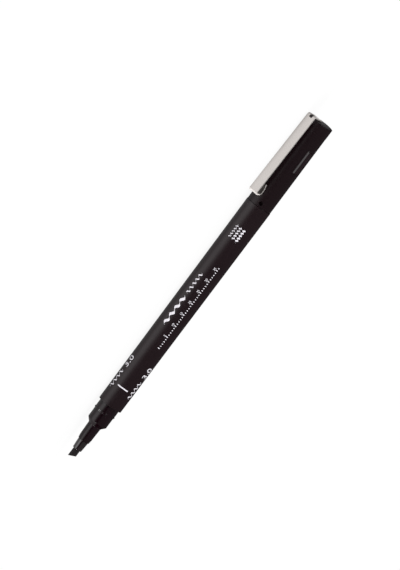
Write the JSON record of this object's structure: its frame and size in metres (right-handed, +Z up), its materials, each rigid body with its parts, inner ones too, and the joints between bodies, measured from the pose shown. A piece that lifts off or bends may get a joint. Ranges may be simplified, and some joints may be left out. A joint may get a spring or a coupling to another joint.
{
  "type": "calligraphy pen",
  "caption": "Slim calligraphy pen with a slanting chisel nib in a stepped holder, a long tapered barrel, and a metal-clipped cap pushed onto its tail.",
  "frame": {"origin": "on the surface that the pen lies on, under the middle of the pen's box", "axes": "+X from the nib to the cap's crown, +Z up; the clip points to +Y and down, and its edge rests on the surface"},
  "size_m": [0.152, 0.0134, 0.0106],
  "materials": {
    "barrel_black": "fine satin black with a slight warm cast",
    "holder_black": "smooth black moulding, a little glossier than the barrel",
    "crown_black": "smooth satin black",
    "nib_fibre": "bonded fibres soaked with black ink",
    "film_clear": "thin clear film",
    "liner_pale": "natural uncoloured moulding",
    "clip_steel": "satin sheet steel",
    "print_white": "thin matt white ink"
  },
  "bodies": {
    "pen": {"barrel": "barrel_black", "front_section": "holder_black", "nib_collar": "holder_black", "nib": "nib_fibre", "ink_reservoir": "nib_fibre", "reservoir_film": "film_clear", "tail_plug": "barrel_black"},
    "cap": {"cap_shell": "barrel_black", "cap_liner": "liner_pale", "cap_crown": "crown_black"},
    "clip": {"clip": "clip_steel"}
  },
  "joints": [
    {"name": "cap_pull", "type": "slide", "parent": "pen", "child": "cap", "axis": [1, 0, 0], "range_m": [0, 0.015]},
    {"name": "clip_flex", "type": "hinge", "parent": "cap", "child": "clip", "pos_m": [0.07527, 0.00027, 0.00429], "axis": [0, -0.3925, -0.9197], "range_deg": [0, 4], "stiffness_Nm_per_rad": 0.39}
  ]
}
